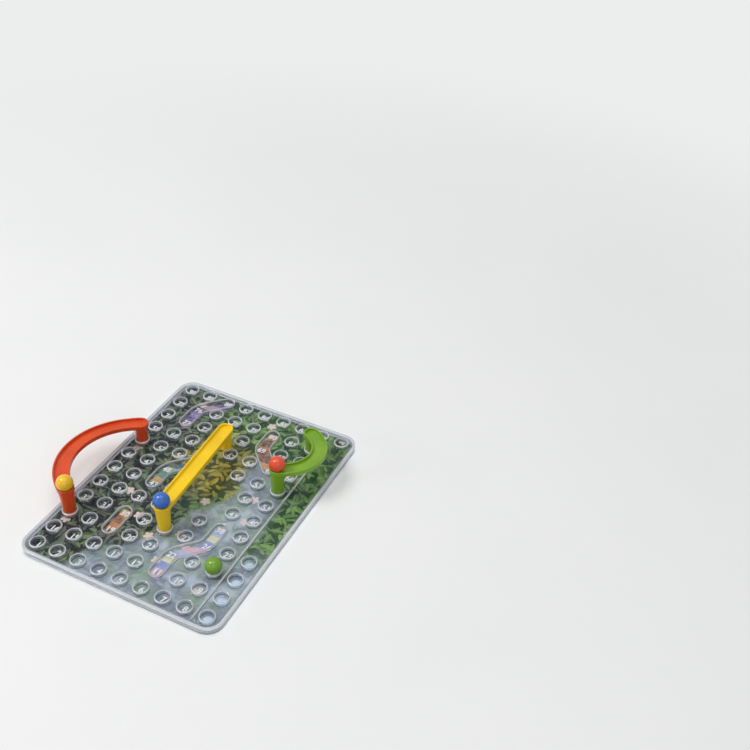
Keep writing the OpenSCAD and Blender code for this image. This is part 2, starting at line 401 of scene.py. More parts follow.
def build_marble(colour, finish, tip):
    """A ball with a fine seam, tipped by an angle, in the place of its node."""
    bm = bmesh.new()
    low, high = (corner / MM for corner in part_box(f"{colour}_ball"))
    quarter = math.pi / 2 - seam_half_angle
    ends = []
    for pole in (-1, 1):
        vert = bm.verts.new((0, 0, pole * marble_radius))
        arc = bmesh.ops.spin(bm, geom=[vert], cent=(0, 0, 0), axis=(0, 1, 0),
                             angle=pole * quarter, steps=arc_steps)["geom_last"]
        ends.append(next(part for part in arc if isinstance(part, bmesh.types.BMVert)))
    sunk = bm.verts.new((marble_radius - seam_sink, 0, 0))
    for end in ends:
        bm.edges.new((end, sunk))
    bmesh.ops.spin(bm, geom=bm.verts[:] + bm.edges[:], cent=(0, 0, 0), axis=UP,
                   angle=2 * math.pi, steps=ball_steps, use_merge=True)
    bmesh.ops.rotate(bm, verts=bm.verts, cent=(0, 0, 0),
                     matrix=Matrix.Rotation(tip, 3, tip_axis))
    bmesh.ops.translate(bm, verts=bm.verts, vec=(low + high) / 2)
    marble = f"{colour}_marble"
    make_piece(f"{colour}_ball", bm, finish, marble, marble, f"{colour}_ball")


# Two close tones, and the angle by which the seam is tipped.
marble_tones = {
    "yellow": (paint(242, 194, 24), paint(232, 178, 18), 0.9),
    "blue": (paint(54, 112, 198), paint(44, 98, 182), 1.9),
    "red": (paint(222, 74, 36), paint(208, 60, 28), 2.6),
    "green": (paint(116, 162, 32), paint(102, 148, 26), 0.4),
}
for colour, (tone, deep_tone, tip) in marble_tones.items():
    polished = moulded_plastic(f"{colour}_marble", tone, deep_tone,
                               gloss=0.09, peel=0.005, shine=0.5)
    build_marble(colour, polished, tip)

# %% [markdown]
# ## Clear plastic
# Cups, curbs and rim are clear and glossy. Real clear plastic still has a faint tint and tiny
# changes of gloss, and its moulded skin is not quite flat, which the nodes give.
# Light that is trapped in clear plastic comes out at its top edges, so the top edges are painted
# near white and hazier: a painted highlight. The foot, where a wall meets the sheet, is painted
# as a dark line of shade. The inside of a wall is clearer than its outside and is painted a
# darker grey as shade, so a finish may bring a mask that says where the inside is.
# Light would reach the print below only through noisy caustics, so a ray that looks for a
# lamp passes straight through. The eye doesn't miss the difference in such thin walls.

# %% Clear plastic
# Heights in millimetres of two painted bands: dark shade from 0.2 to 1.2 above the foot, and a
# light highlight from 1.5 to 0.7 below the top.
foot_shade_band, top_light_band = (0.2, 1.2), (1.5, 0.7)
inside_haze = 0.5


def clear_plastic(name, low, top, haze, top_light_haze, inside=None):
    """Clear plastic between two heights in millimetres, with painted shade at its foot, a painted
    highlight at its top edges, and an optional mask of its inside, which is painted darker as
    shade.
    """
    finish, tree, where = start_finish(name)
    flow = clouds(tree, where, 60)
    skin = add_node(tree, "ShaderNodeBump", {
        "Strength": 0.08, "Distance": 0.0002, "Height": clouds(tree, where, 500, 1)})
    height = add_node(tree, "ShaderNodeSeparateXYZ", {0: where}).outputs[2]
    # Painted shade: a dark line at the foot of each wall.
    painted_foot_shade = span(tree, height, *((low + rise) * MM for rise in foot_shade_band), 1, 0)
    # Painted highlight: the top edges grow paler and hazier.
    painted_top_light = span(tree, height, *((top - drop) * MM for drop in top_light_band))
    hazy = span(tree, painted_top_light, 0, 1, haze, top_light_haze)
    tone = blend_paint(tree, span(tree, flow, 0.3, 0.7),
                       paint(240, 243, 246), paint(228, 233, 238))
    if inside:
        inner = inside(tree, where)
        # Painted shade: the inside of a wall turns a darker grey.
        tone = blend_paint(tree, inner, tone, paint(184, 190, 201))
        hazy = calc(tree, "MULTIPLY", hazy, span(tree, inner, 0, 1, 1, inside_haze))
    # The foot's painted shade, then the top's painted highlight.
    tone = blend_paint(tree, painted_foot_shade, tone, paint(78, 84, 94))
    tone = blend_paint(tree, painted_top_light, tone, paint(250, 251, 252))
    body = add_node(tree, "ShaderNodeBsdfPrincipled", {
        "Base Color": tone,
        "Roughness": span(tree, flow, 0.3, 0.7, 0.03, 0.07),
        "Normal": skin.outputs[0],
        "IOR": 1.49,
        "Transmission Weight": calc(tree, "SUBTRACT", 1, hazy),
    })
    passing = add_node(tree, "ShaderNodeBsdfTransparent", {
        "Color": blend_paint(tree, flow, paint(246, 248, 250), paint(236, 240, 244))})
    ray = add_node(tree, "ShaderNodeLightPath").outputs["Is Shadow Ray"]
    shader = add_node(tree, "ShaderNodeMixShader",
                      {0: ray, 1: body.outputs[0], 2: passing.outputs[0]})
    end_finish(tree, shader)
    return finish


curb_height = 3.4
# The curbs get painted shade at the foot and a painted highlight along the top.
curb_plastic = clear_plastic("curb_plastic", plate_top, plate_top + curb_height,
                             haze=0.1, top_light_haze=0.3)
print("clear plastic:", curb_plastic.name)

# %% [markdown]
# ## Cups
# Eighty ring cups stand on the clear plate, one on most squares of the grid.
# One ring is made with care, by spinning its wall and rounding its edges, the outer one most,
# and then it is duplicated to the other places, which is how the mould itself is cut.
# A hair's breadth between ring and sheet keeps their faces from lying in one plane.

# %% Grid
pitch, columns, rows = 20.0, 9, 12
cup_columns = [
    [0, 1, 2, 3, 4, 5, 6, 7, 8],
    [0, 1, 2, 3, 4, 6, 7, 8],
    [0, 1, 3, 4, 6, 7, 8],
    [0, 1, 3, 4, 5, 7, 8],
    [0, 1, 2, 3, 5, 7],
    [0, 1, 3, 6, 7],
    [0, 1, 3, 6, 7],
    [0, 1, 2, 5, 6, 7],
    [0, 1, 2, 3, 4, 5, 7],
    [0, 2, 3, 4, 6, 7],
    [0, 2, 3, 4, 6, 7],
    [0, 1, 3, 4, 5, 6, 7, 8],
]


def square(column, row):
    """The middle of a square of the grid, on the board."""
    return Vector(((column - (columns - 1) / 2) * pitch, (row - (rows - 1) / 2) * pitch, 0))


cup_places = [square(column, row) for row in range(rows) for column in cup_columns[row]]
print("cups:", len(cup_places))

# %% Cup finish
cup_outer, cup_inner, cup_height = 6.7, 5.4, 4.4


def inside_cups(tree, where):
    """1 on the inner half of every cup's wall, 0 on the outer half."""
    half = pitch * MM / 2
    wrapped = add_node(tree, "ShaderNodeVectorMath", {
        0: where, 1: (half, 2 * half, 1), 2: (-half, 0, -1)}, operation="WRAP").outputs[0]
    flat = add_node(tree, "ShaderNodeVectorMath", {
        0: wrapped, 1: (1, 1, 0), 2: (0, -half, 0)}, operation="MULTIPLY_ADD").outputs[0]
    reach = add_node(tree, "ShaderNodeVectorMath", {0: flat}, operation="LENGTH")
    middle = (cup_outer + cup_inner) / 2
    return span(tree, reach.outputs["Value"], (middle - 0.3) * MM, middle * MM, 1, 0)


# The cups get painted shade at the foot and inside, and a painted highlight along the top.
cup_plastic = clear_plastic("cup_plastic", plate_top, plate_top + cup_height,
                            haze=0.16, top_light_haze=0.52, inside=inside_cups)
print("cup finish:", cup_plastic.name)

# %% Cups
hair, outer_round, inner_round = 0.03, 0.95, 0.2
ring_steps, wall_between = 40, cup_inner + 0.5

bm = bmesh.new()
wall = [(cup_inner, 0), (cup_outer, 0), (cup_outer, cup_height), (cup_inner, cup_height)]
verts = [bm.verts.new((radius, 0, height)) for radius, height in wall]
edges = [bm.edges.new((vert, verts[place - 1])) for place, vert in enumerate(verts)]
bmesh.ops.spin(bm, geom=verts + edges, cent=(0, 0, 0), axis=UP,
               angle=2 * math.pi, steps=ring_steps, use_merge=True)
soften(bm, outer_round, 6,
       lambda middle: middle.xy.length > wall_between and middle.z > cup_height / 2)
soften(bm, inner_round, 2, lambda middle: middle.xy.length < wall_between)
first_ring = bm.verts[:] + bm.edges[:] + bm.faces[:]
for place in cup_places[1:]:
    copy = bmesh.ops.duplicate(bm, geom=first_ring)["geom"]
    bmesh.ops.translate(bm, vec=place - cup_places[0],
                        verts=[part for part in copy if isinstance(part, bmesh.types.BMVert)])
bmesh.ops.translate(bm, verts=bm.verts, vec=cup_places[0] + Vector((0, 0, plate_top + hair)))
make_piece("ball_cups", bm, cup_plastic, "board", "clear_cups", "ball_cups")

# %% [markdown]
# ## Snake channels
# A snake is a channel with a low curb all round it. The marble that lands on its upper end
# rolls between the curbs to its lower end.
# The curb has the same section everywhere, so the section travels: it runs on, it turns
# round the bends, and a half turn takes it round each end, until it meets its start.

# %% Way round a channel
channel_half, curb_wall = 6.7, 1.2
bend_radius, bend_angle = 16.0, math.radians(45)
bend_start = bend_radius * math.tan(bend_angle / 2)
bend_steps, end_steps = 8, 24
slant = pitch * math.sqrt(2)


def turn_on(bm, section, centre, angle, steps):
    """Spins a section about an upright axis and gives the new section."""
    return bmesh.ops.spin(bm, geom=section, cent=centre, axis=UP,
                          angle=angle, steps=steps)["geom_last"]


def run_or_push(bm, section, step):
    """Runs on with a section of edges, or with a single vertex."""
    if any(isinstance(part, bmesh.types.BMEdge) for part in section):
        return run_on(bm, section, step)
    verts = bmesh.ops.extrude_vert_indiv(bm, verts=section)["verts"]
    bmesh.ops.translate(bm, verts=verts, vec=step)
    return verts


def travel_round(bm, section, moves):
    """Takes a section out along a channel, round its end, back and round its start."""
    place, heading = Vector((0, 0, 0)), math.pi / 2
    there_and_back = (moves, [(-bend, length) for bend, length in reversed(moves)])
    for trip in there_and_back:
        for bend, length in trip:
            if bend:
                to_right = Vector((math.sin(heading), -math.cos(heading), 0))
                centre = place + to_right * bend * bend_radius
                section = turn_on(bm, section, centre, -bend * bend_angle, bend_steps)
                place = centre + Matrix.Rotation(-bend * bend_angle, 3, "Z") @ (place - centre)
                heading -= bend * bend_angle
            else:
                step = Vector((math.cos(heading), math.sin(heading), 0)) * length
                section = run_or_push(bm, section, step)
                place = place + step
        section = turn_on(bm, section, place, math.pi, end_steps)
        heading += math.pi


straight_end, slant_end = pitch - bend_start, slant - bend_start
# A move is a bend (1 to the right, -1 to the left), or no bend and a length.
short_way = [(0, pitch)]
bent_way = [(0, straight_end), (1, 0), (0, slant_end)]
long_way = [(0, straight_end), (1, 0), (0, slant - 2 * bend_start), (-1, 0), (0, straight_end)]
# The way, the square it starts on, and whether it leads to the back (1) or to the front (-1).
snakes = {
    "orange": (short_way, square(2, 2), 1),
    "lavender": (long_way, square(5, 1), 1),
    "teal": (bent_way, square(2, 5), 1),
    "purple": (bent_way, square(1, 9), 1),
    "brown": (bent_way, square(5, 10), -1),
}
print("snake channels:", ", ".join(snakes))

# %% Curbs
curb_round = 0.5

bm = bmesh.new()
for way, place, up_or_down in snakes.values():
    snake = bmesh.new()
    corners = [(channel_half - curb_wall, 0), (channel_half, 0),
               (channel_half, curb_height), (channel_half - curb_wall, curb_height)]
    verts = [snake.verts.new((reach, 0, height)) for reach, height in corners]
    edges = [snake.edges.new((vert, verts[order - 1])) for order, vert in enumerate(verts)]
    travel_round(snake, verts + edges, way)
    soften(snake, curb_round, 4)
    bmesh.ops.scale(snake, vec=(1, up_or_down, 1), verts=snake.verts)
    bmesh.ops.translate(snake, verts=snake.verts, vec=place + Vector((0, 0, plate_top + hair)))
    mesh = bpy.data.meshes.new("snake_curb")
    snake.to_mesh(mesh)
    snake.free()
    bm.from_mesh(mesh)
    bpy.data.meshes.remove(mesh)
make_piece("snake_channels", bm, curb_plastic, "board", "clear_curbs", "snake_channels")

# %% [markdown]
# ## Clear sheet
# One clear sheet covers the whole print, with a low rib that fences off the start lane.
# A thin flat sheet hardly bends what is seen through it, so it needs no refraction: light
# passes straight through, apart from the share that the surface mirrors at a low angle.
# That share comes from the viewing slant, because Fresnel would turn the underside of a sheet
# that doesn't refract into a full mirror.
# A little haze stands for the fine scratches of a sheet that is played on.

# %% Clear sheet finish
mirror_head_on, mirror_slant, slant_power = 0.012, 0.98, 5


def clear_sheet_finish(name, haze):
    """A thin clear sheet that mirrors more at a low angle."""
    finish, tree, where = start_finish(name)
    flow = clouds(tree, where, 25)
    ripple = add_node(tree, "ShaderNodeBump", {
        "Strength": 0.05, "Distance": 0.0003, "Height": clouds(tree, where, 90, 1)})
    passing = add_node(tree, "ShaderNodeBsdfTransparent", {
        "Color": blend_paint(tree, flow, paint(252, 253, 253), paint(246, 249, 249))})
    mirror = add_node(tree, "ShaderNodeBsdfGlossy", {
        "Roughness": span(tree, flow, 0.3, 0.7, 0.05, 0.12), "Normal": ripple.outputs[0]})
    veil = add_node(tree, "ShaderNodeBsdfDiffuse", {
        "Color": blend_paint(tree, flow, paint(228, 232, 234), paint(240, 242, 243))})
    slant_view = add_node(tree, "ShaderNodeLayerWeight", {
        "Blend": 0.5, "Normal": ripple.outputs[0]}).outputs["Facing"]
    mirrored = calc(tree, "MULTIPLY_ADD", calc(tree, "POWER", slant_view, slant_power),
                    mirror_slant, mirror_head_on)
    hazy = add_node(tree, "ShaderNodeMixShader", {
        0: span(tree, flow, 0.2, 0.8, haze * 0.7, haze * 1.3),
        1: passing.outputs[0], 2: veil.outputs[0]})
    shader = add_node(tree, "ShaderNodeMixShader", {
        0: mirrored, 1: hazy.outputs[0], 2: mirror.outputs[0]})
    end_finish(tree, shader)
    return finish


sheet_plastic = clear_sheet_finish("sheet_plastic", haze=0.004)
print("sheet finish:", sheet_plastic.name)

# %% Clear sheet
sheet_corner, sheet_low, sheet_round = 11.4, 1.66, 0.15
plate_low, plate_high = (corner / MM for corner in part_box("clear_plate"))

bm = bmesh.new()
bmesh.ops.create_cube(bm, size=1)
bmesh.ops.scale(bm, verts=bm.verts, vec=(
    plate_high.x - plate_low.x, plate_high.y - plate_low.y, plate_top - sheet_low))
upright = [edge for edge in bm.edges
           if abs(edge.verts[0].co.z - edge.verts[1].co.z) > sheet_low / 2]
bmesh.ops.bevel(bm, geom=upright, offset=sheet_corner, offset_type="OFFSET", affect="EDGES",
                segments=12, profile=0.5, material=-1)
bmesh.ops.translate(bm, verts=bm.verts, vec=(0, 0, (plate_top + sheet_low) / 2))
soften(bm, sheet_round, 2)
make_piece("clear_sheet", bm, sheet_plastic, "board", "clear_sheet", "clear_plate")

# %% Lane rib
rib_width, rib_height, rib_middle = 1.6, 3.0, 70.0
rib_front, rib_back = -117.0, 70.0

bm = bmesh.new()
bmesh.ops.create_cube(bm, size=1)
bmesh.ops.scale(bm, vec=(rib_width, rib_back - rib_front, rib_height), verts=bm.verts)
upright = [edge for edge in bm.edges
           if abs(edge.verts[0].co.z - edge.verts[1].co.z) > rib_height / 2]
bmesh.ops.bevel(bm, geom=upright, offset=rib_width * 0.45, offset_type="OFFSET", affect="EDGES",
                segments=5, profile=0.5, material=-1)
soften(bm, curb_round, 4)
bmesh.ops.translate(bm, verts=bm.verts, vec=(
    rib_middle, (rib_front + rib_back) / 2, plate_top + hair + rib_height / 2))
make_piece("lane_rib", bm, curb_plastic, "board", "clear_sheet", "clear_plate")

# %% [markdown]
# ## Rim
# A low pale frame runs round the board. Inside it a lip reaches over the clear sheet and
# holds sheet, print and base together.
# It is one section again, an angle with a lip, that runs along the four sides and spins a
# quarter turn round each corner. Its plastic is clear too, but its wall has more haze than the
# cups, so that it reads as a pale band, and the print shows through the clearer lip, which is
# painted a darker grey as shade.

# %% Rim plastic
board_half = Vector((*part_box("board_rim")[1].xy, 0)) / MM
rim_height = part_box("board_rim")[1].z / MM
corner_radius, rim_wall = 14.0, 2.4
corner = board_half - Vector((corner_radius, corner_radius, 0))


def inside_rim(tree, where):
    """1 on the lip inside the rim's wall, 0 on the wall."""
    folded = add_node(tree, "ShaderNodeVectorMath", {0: where}, operation="ABSOLUTE").outputs[0]
    past = add_node(tree, "ShaderNodeVectorMath", {
        0: folded, 1: (corner.x * MM, corner.y * MM, 1)}, operation="SUBTRACT").outputs[0]
    reach = add_node(tree, "ShaderNodeVectorMath", {
        0: add_node(tree, "ShaderNodeVectorMath", {0: past, 1: (0, 0, 0)},
                    operation="MAXIMUM").outputs[0]}, operation="LENGTH").outputs["Value"]
    wall_inside, soft = corner_radius - rim_wall, 0.15
    return span(tree, reach, (wall_inside - soft) * MM, (wall_inside + soft) * MM, 1, 0)


# The rim gets painted shade at its foot and on its lip, and a painted highlight along the top.
rim_plastic = clear_plastic("rim_plastic", 0, rim_height,
                            haze=0.25, top_light_haze=0.45, inside=inside_rim)
print("rim finish:", rim_plastic.name)

# %% Rim
lip_reach, lip_top = 4.4, 4.6
corner_steps, rim_round = 14, 0.4

bm = bmesh.new()
outline = [(0, 0), (0, rim_height), (rim_wall, rim_height), (rim_wall, lip_top),
           (lip_reach, lip_top), (lip_reach, plate_top + hair),
           (rim_wall, plate_top + hair), (rim_wall, 0)]
verts = [bm.verts.new((0, inward - board_half.y, height)) for inward, height in outline]
section = verts + [bm.edges.new((vert, verts[order - 1])) for order, vert in enumerate(verts)]
section = run_on(bm, section, (corner.x, 0, 0))
for toward, length in (((1, -1), (0, 2 * corner.y)), ((1, 1), (-2 * corner.x, 0)),
                       ((-1, 1), (0, -2 * corner.y)), ((-1, -1), (corner.x, 0))):
    centre = Vector((corner.x * toward[0], corner.y * toward[1], 0))
    section = turn_on(bm, section, centre, math.pi / 2, corner_steps)
    section = run_on(bm, section, (*length, 0))
soften(bm, rim_round)
make_piece("board_rim", bm, rim_plastic, "board", "frosted_rim", "board_rim")

# %% [markdown]
# ## Printed card
# Below the sheet lies a printed card: a garden scene with dark leaves on the left, fresh
# green at the back and a pale path that winds in from the front.
# The print is all nodes. Soft masks over the board say where each ground colour lies, and
# scattered cells each carry one leaf, turned at random, with a lighter midrib.
# It is measured in squares of the grid, so its motifs keep the scale of the cups.

# %% Scattered motifs
def scatter(tree, where, scale, shift):
    """Scattered cells: the way to each point from its cell's middle, and chance values."""
    moved = add_node(tree, "ShaderNodeVectorMath", {0: where, 1: shift}, operation="ADD")
    cells = add_node(tree, "ShaderNodeTexVoronoi",
                     {"Vector": moved.outputs[0], "Scale": scale}, voronoi_dimensions="2D")
    chance = add_node(tree, "ShaderNodeSeparateColor", {0: cells.outputs["Color"]})
    local = add_node(tree, "ShaderNodeVectorMath",
                     {0: moved.outputs[0], 1: cells.outputs["Position"]}, operation="SUBTRACT")
    return local.outputs[0], chance.outputs


def leaves(tree, where, scale, length, width, shift):
    """Scattered leaves: their cover, a chance value for each, midribs and lit halves."""
    local, chance = scatter(tree, where, scale, shift)
    turned = add_node(tree, "ShaderNodeVectorRotate", {
        "Vector": local, "Angle": calc(tree, "MULTIPLY", chance[0], 2 * math.pi)},
        rotation_type="Z_AXIS")
    axes = add_node(tree, "ShaderNodeSeparateXYZ", {0: turned.outputs[0]})
    along = calc(tree, "POWER", calc(tree, "DIVIDE", axes.outputs[0], length), 2)
    across = calc(tree, "DIVIDE", calc(tree, "ABSOLUTE", axes.outputs[1]), width)
    inside = calc(tree, "SUBTRACT", 1, calc(tree, "ADD", along, across))
    lit_half = span(tree, axes.outputs[1], -0.02, 0.02)
    return (span(tree, inside, 0, 0.14), chance[1],
            span(tree, across, 0.04, 0.2, 1, 0), lit_half)


petal_count = 5


def blossoms(tree, where, scale, size, shift, rarity):
    """Scattered five-petalled flowers: how they cover, and their eyes."""
    local, chance = scatter(tree, where, scale, shift)
    axes = add_node(tree, "ShaderNodeSeparateXYZ", {0: local})
    reach = add_node(tree, "ShaderNodeVectorMath", {0: local}, operation="LENGTH").outputs["Value"]
    angle = calc(tree, "ARCTAN2", axes.outputs[1], axes.outputs[0])
    lobe = calc(tree, "ABSOLUTE", calc(
        tree, "COSINE", calc(tree, "MULTIPLY", angle, petal_count / 2)))
    petals = calc(tree, "MULTIPLY_ADD", calc(tree, "POWER", lobe, 0.6), size * 0.45, size * 0.55)
    cover = span(tree, calc(tree, "SUBTRACT", petals, reach), 0, size * 0.12)
    chosen = calc(tree, "GREATER_THAN", chance[2], rarity)
    eye = span(tree, reach, size * 0.15, size * 0.35, 1, 0)
    return calc(tree, "MULTIPLY", cover, chosen), eye


print("print motifs: leaves and blossoms")

# %% Grounds of the print
card_print, tree, where = start_finish("card_print")
grid = add_node(tree, "ShaderNodeVectorMath", {0: where, "Scale": 1 / (pitch * MM)},
                operation="SCALE").outputs[0]
drift = add_node(tree, "ShaderNodeTexNoise", {"Vector": grid, "Scale": 0.55, "Detail": 3})
wander = add_node(tree, "ShaderNodeVectorMath",
                  {0: drift.outputs[1], 1: (-0.5, -0.5, -0.5)}, operation="ADD")
warped = add_node(tree, "ShaderNodeVectorMath",
                  {0: wander.outputs[0], 1: (1.8, 1.8, 0), 2: grid}, operation="MULTIPLY_ADD")
axes = add_node(tree, "ShaderNodeSeparateXYZ", {0: warped.outputs[0]})
x, y = axes.outputs[0], axes.outputs[1]
grid_axes = add_node(tree, "ShaderNodeSeparateXYZ", {0: grid})

# Fresh green to the right and back, a path that sways to and fro and widens to the front,
# a dark lane at the right, and a sunny place in the middle.
freshness = span(tree, calc(tree, "MULTIPLY_ADD", y, 0.3, x), -2.6, 2.0)
path_middle = calc(tree, "MULTIPLY_ADD", calc(
    tree, "SINE", calc(tree, "MULTIPLY_ADD", y, 0.55, 1.6)), 0.9, 1.5)
path_half = calc(tree, "MULTIPLY_ADD", y, -0.3, 1.3)
path_offset = calc(tree, "ABSOLUTE", calc(tree, "SUBTRACT", x, path_middle))
path = span(tree, calc(tree, "SUBTRACT", path_half, path_offset), -0.25, 0.3)
lane = span(tree, x, 3.3, 3.7, 1, 0)
front = span(tree, y, -2.9, -1.6, 1, 0)
path = calc(tree, "MAXIMUM", calc(tree, "MULTIPLY", path, lane), calc(
    tree, "MULTIPLY", front, span(tree, x, 0.5, 1.5)))
sunlight = span(tree, add_node(tree, "ShaderNodeVectorMath", {
    0: warped.outputs[0], 1: (-0.2, 1.8, 0)}, operation="DISTANCE").outputs["Value"],
    0.8, 2.6, 1, 0)

shade_ground = blend_paint(tree, freshness, paint(26, 28, 36), paint(40, 74, 40))
stone_ground = blend_paint(tree, span(tree, clouds(tree, grid, 0.8), 0.42, 0.62),
                           paint(128, 133, 147), paint(140, 158, 134))
brush = clouds(tree, grid, 5, 4, 0.65)
stone_ground = blend_paint(tree, span(tree, brush, 0.35, 0.7, 0, 0.5),
                           stone_ground, paint(168, 174, 190))
splash = span(tree, clouds(tree, grid, 0.6, 4, 0.6), 0.5, 0.64, 0, 0.6)
stone_ground = blend_paint(tree, splash, stone_ground, paint(210, 214, 228))
sunny_ground = calc(tree, "MULTIPLY", sunlight, 0.7)
shade_ground = blend_paint(tree, sunny_ground, shade_ground, paint(92, 90, 36))
print("grounds of the print made")

# %% Leaves and blossoms of the print
colour = shade_ground
# Leaves in a square, their length and width in squares, a shift, and how well they cover.
layers = (
    (1.1, 0.48, 0.19, (3.1, 7.7, 0), 0.75),
    (1.75, 0.32, 0.13, (11.4, 2.9, 0), 0.8),
    (2.7, 0.22, 0.085, (5.8, 19.3, 0), 0.8),
)
for scale, length, width, shift, strength in layers:
    cover, chance, midrib, lit_half = leaves(tree, grid, scale, length, width, shift)
    few = span(tree, chance, 0.5, 1)
    dark_leaf = blend_paint(tree, few, paint(36, 40, 48), paint(94, 124, 60))
    fresh_leaf = blend_paint(tree, chance, paint(42, 86, 44), paint(122, 164, 70))
    sunny_leaf = blend_paint(tree, chance, paint(138, 126, 34), paint(224, 192, 60))
    leaf = blend_paint(tree, freshness, dark_leaf, fresh_leaf)
    leaf = blend_paint(tree, sunlight, leaf, sunny_leaf)
    lit_leaf = blend_paint(tree, calc(tree, "MULTIPLY", lit_half, 0.16),
                           leaf, paint(230, 236, 200))
    veined = blend_paint(tree, calc(tree, "MULTIPLY", midrib, 0.3),
                         lit_leaf, paint(206, 214, 168))
    colour = blend_paint(tree, calc(tree, "MULTIPLY", cover, strength), colour, veined)
colour = blend_paint(tree, span(tree, brush, 0.45, 0.75, 0, 0.12),
                     colour, paint(190, 202, 190))
tuft_cover, tuft_chance = leaves(tree, grid, 2.4, 0.3, 0.06, (8.8, 4.4, 0))[:2]
tuft = blend_paint(tree, tuft_chance, paint(108, 132, 98), paint(190, 196, 206))
path_paint = blend_paint(tree, calc(tree, "MULTIPLY", tuft_cover, 0.55), stone_ground, tuft)
colour = blend_paint(tree, path, colour, path_paint)
flower, eye = blossoms(tree, grid, 0.7, 0.25, (1.7, 3.9, 0), 0.72)
petal = blend_paint(tree, eye, paint(230, 206, 198), paint(168, 76, 56))
colour = blend_paint(tree, flower, colour, petal)
print("layers of leaves:", len(layers))

# %% [markdown]
# A pale spot on the print marks each cup of the start lane. Wrapped coordinates repeat one
# spot in every square, and two tests keep only the lane's first four.

# %% Start spots, and the card's finish
lane_edge, last_start = 3.5, -2

wrapped = add_node(tree, "ShaderNodeVectorMath", {
    0: grid, 1: (lane_edge + 1, 1, 1), 2: (lane_edge, 0, 0)}, operation="WRAP").outputs[0]
from_middle = add_node(tree, "ShaderNodeVectorMath", {
    0: wrapped, 1: (lane_edge + 0.5, 0.5, 0)}, operation="DISTANCE").outputs["Value"]
lane_spot = calc(tree, "MULTIPLY", span(tree, from_middle, 0.16, 0.27, 1, 0), calc(
    tree, "MULTIPLY", calc(tree, "GREATER_THAN", grid_axes.outputs[0], lane_edge),
    calc(tree, "LESS_THAN", grid_axes.outputs[1], last_start)))
colour = blend_paint(tree, lane_spot, colour, blend_paint(
    tree, span(tree, brush, 0.3, 0.7), paint(214, 226, 244), paint(190, 204, 230)))

card_shader = add_node(tree, "ShaderNodeBsdfPrincipled", {
    "Base Color": colour,
    "Roughness": span(tree, clouds(tree, where, 900, 2), 0.3, 0.7, 0.42, 0.55),
    "Specular IOR Level": 0.1})
end_finish(tree, card_shader)
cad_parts["printed_card"].material_slots[0].material = card_print
print("nodes in the print:", len(tree.nodes))

# %% [markdown]
# ## Printed snakes
# Under each channel the print shows a snake's body. A flat shape with its own ink lies a
# hair above the card. A single vertex travels round the channel as the curb's section did,
# the closed line is filled, and the face is drawn up by a hair.
# The ink has bands of colour across the body, with a wavering edge as if painted by hand,
# and a net of small scales over them.

# %% Snake ink
wave_length = math.pi / 10    # the Wave node's own length at a scale of 1
bands_length, scales_in_metre = 11 * math.pi, 620


def snake_ink(name, tones):
    """Ink with a row of bands that repeats along Y."""
    finish, tree, where = start_finish(name)
    wobble = add_node(tree, "ShaderNodeTexWave", {
        "Vector": where, "Scale": wave_length / (bands_length * MM),
        "Distortion": 1.6, "Detail": 2, "Detail Scale": 2},
        bands_direction="Y", wave_profile="SAW")
    bands = add_node(tree, "ShaderNodeValToRGB", {0: wobble.outputs[1]})
    bands.color_ramp.interpolation = "CONSTANT"
    while len(bands.color_ramp.elements) < len(tones):
        bands.color_ramp.elements.new(0.5)
    for order, (stop, tone) in enumerate(zip(bands.color_ramp.elements, tones)):
        stop.position, stop.color = order / len(tones), tone
    brush = clouds(tree, where, 420, 3)
    scales = add_node(tree, "ShaderNodeTexVoronoi", {
        "Vector": where, "Scale": scales_in_metre, "Randomness": 0.35},
        feature="DISTANCE_TO_EDGE", voronoi_dimensions="2D").outputs["Distance"]
    scaly = blend_paint(tree, span(tree, scales, 0.02, 0.12, 0.45, 0),
                        bands.outputs[0], paint(52, 44, 50))
    shader = add_node(tree, "ShaderNodeBsdfPrincipled", {
        "Base Color": blend_paint(tree, span(tree, brush, 0.3, 0.8, 0, 0.3),
                                  scaly, paint(236, 232, 226)),
        "Roughness": span(tree, brush, 0.3, 0.7, 0.4, 0.55),
        "Specular IOR Level": 0.1})
    end_finish(tree, shader)
    return finish


snake_tones = {
    "orange": ((206, 126, 60), (150, 84, 44), (228, 168, 96), (120, 70, 42)),
    "lavender": ((186, 190, 224), (226, 180, 206), (150, 160, 214), (232, 224, 190)),
    "teal": ((92, 138, 128), (150, 182, 140), (70, 104, 128), (204, 160, 108)),
    "purple": ((92, 66, 132), (140, 108, 172), (58, 46, 92), (190, 150, 180)),
    "brown": ((176, 98, 56), (104, 66, 46), (214, 146, 92), (132, 80, 56)),
}
print("inks:", ", ".join(snake_tones))

# %% Printed snakes
card_top, ink_height, ink_half = 1.6, 0.015, 5.3

for snake_name, (way, place, up_or_down) in snakes.items():
    bm = bmesh.new()
    travel_round(bm, [bm.verts.new((ink_half, 0, 0))], way)
    bmesh.ops.remove_doubles(bm, verts=bm.verts, dist=merge_gap)
    face = bmesh.ops.contextual_create(bm, geom=bm.edges[:])["faces"]
    lifted = bmesh.ops.extrude_face_region(bm, geom=face)["geom"]
    bmesh.ops.translate(bm, vec=(0, 0, ink_height), verts=[
        part for part in lifted if isinstance(part, bmesh.types.BMVert)])
    bmesh.ops.scale(bm, vec=(1, up_or_down, 1), verts=bm.verts)
    bmesh.ops.translate(bm, verts=bm.verts, vec=place + Vector((0, 0, card_top)))
    ink = snake_ink(f"{snake_name}_ink", [paint(*tone) for tone in snake_tones[snake_name]])
    make_piece(f"{snake_name}_snake_print", bm, ink, "board", "card")

# %% [markdown]
# ## Numbers
# Every square of the way has a plain number. The way runs to and fro, row by row, from the
# front of the board, as on any such board, and leaves out the start lane.
# The numbers are printed on the clear sheet, inside the cups, so no wall bends their lines.
# Blender's text is turned into a mesh first and then moved, so that the place is in the mesh.

